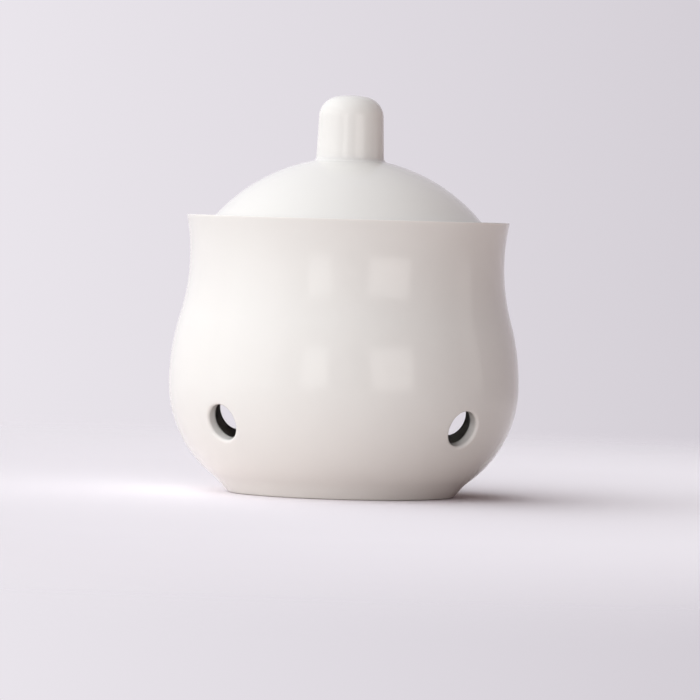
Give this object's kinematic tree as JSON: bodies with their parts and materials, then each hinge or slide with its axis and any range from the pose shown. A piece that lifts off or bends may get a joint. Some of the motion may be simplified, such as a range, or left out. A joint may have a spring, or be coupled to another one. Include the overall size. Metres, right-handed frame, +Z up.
{
  "type": "garlic keeper",
  "caption": "Bellied porcelain jar with round vents low in its wall, a waisted neck, a flared lip and a domed lid with a finger knob, for keeping garlic bulbs.",
  "frame": {"origin": "centre of the foot, on the plane it stands on", "axes": "+Z up along the pot's axis; the front faces -Y, midway between two vents, with +X to the right"},
  "size_m": [0.1114, 0.1114, 0.127],
  "materials": {
    "white_glaze": "glossy clear glaze over warm white porcelain"
  },
  "bodies": {
    "pot": {"pot": "white_glaze"},
    "lid": {"lid": "white_glaze"}
  },
  "joints": [
    {"name": "lid_lift", "type": "slide", "parent": "pot", "child": "lid", "axis": [0, 0, 1], "range_m": [0, 0.12]}
  ]
}
